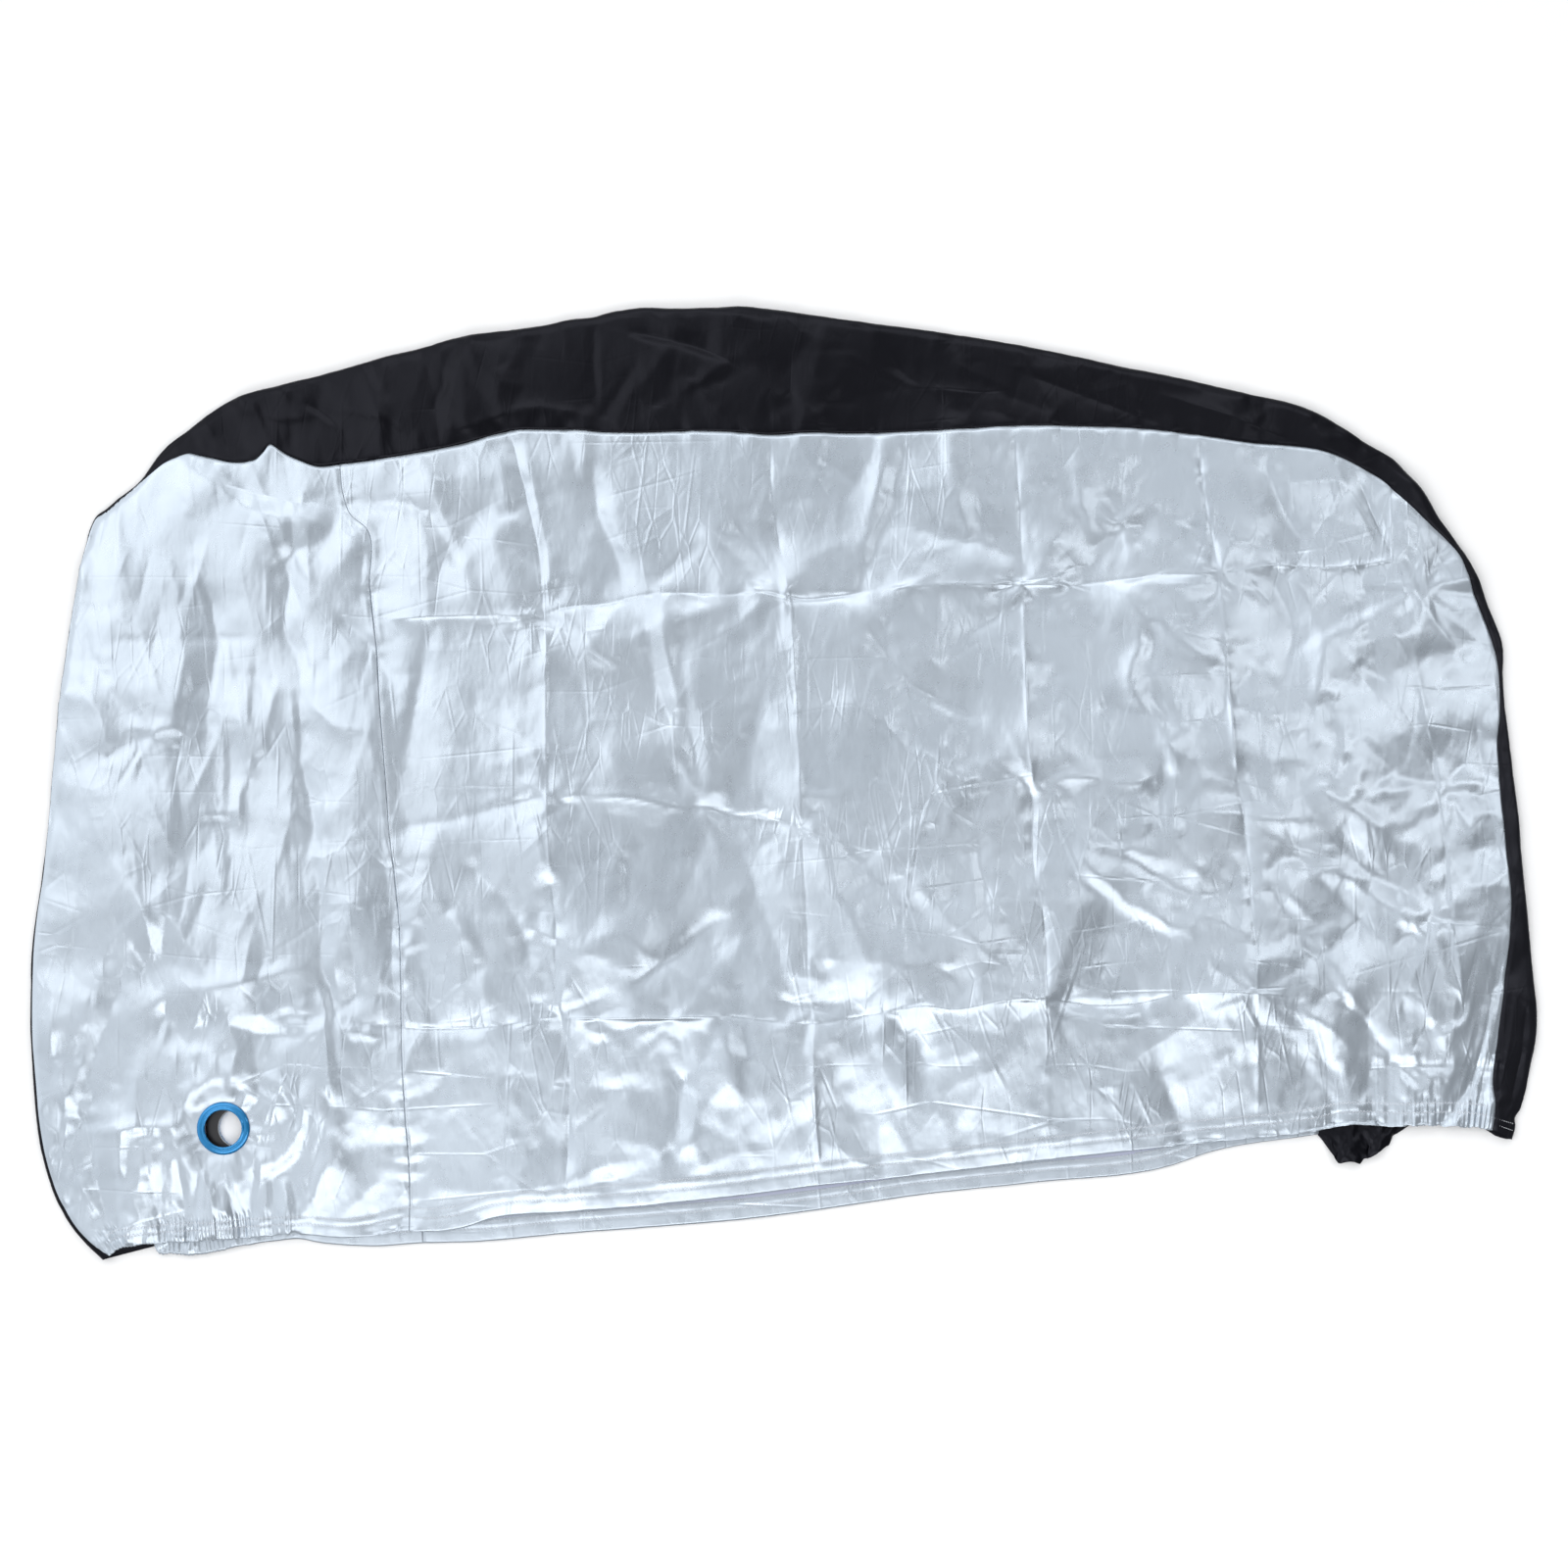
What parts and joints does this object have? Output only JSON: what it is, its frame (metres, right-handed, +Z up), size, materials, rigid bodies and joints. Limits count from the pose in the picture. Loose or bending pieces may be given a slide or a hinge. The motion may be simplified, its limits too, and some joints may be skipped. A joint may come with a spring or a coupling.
{
  "type": "bicycle cover",
  "caption": "Empty bicycle cover laid flat on its side: silver cloth sides, a black cloth strip folded round the outline, an open gathered hem and lock eyelets.",
  "frame": {"origin": "on the ground, under the middle of the flat-laid outline", "axes": "+X along the cover from its front end to its rear end, +Y from the hem to the top, +Z up from the ground"},
  "size_m": [2, 1.2673, 0.0263],
  "materials": {
    "silver_cloth": "coated taffeta, satin metallic",
    "black_cloth": "coated taffeta, semi-gloss",
    "blue_plastic": "gloss"
  },
  "bodies": {
    "root": {"panel_near_front": "silver_cloth", "panel_near_main": "silver_cloth", "panel_far_front": "silver_cloth", "panel_far_main": "silver_cloth", "gusset_front": "black_cloth", "gusset_main": "black_cloth", "eyelet_near": "blue_plastic", "eyelet_far": "blue_plastic"}
  },
  "joints": []
}
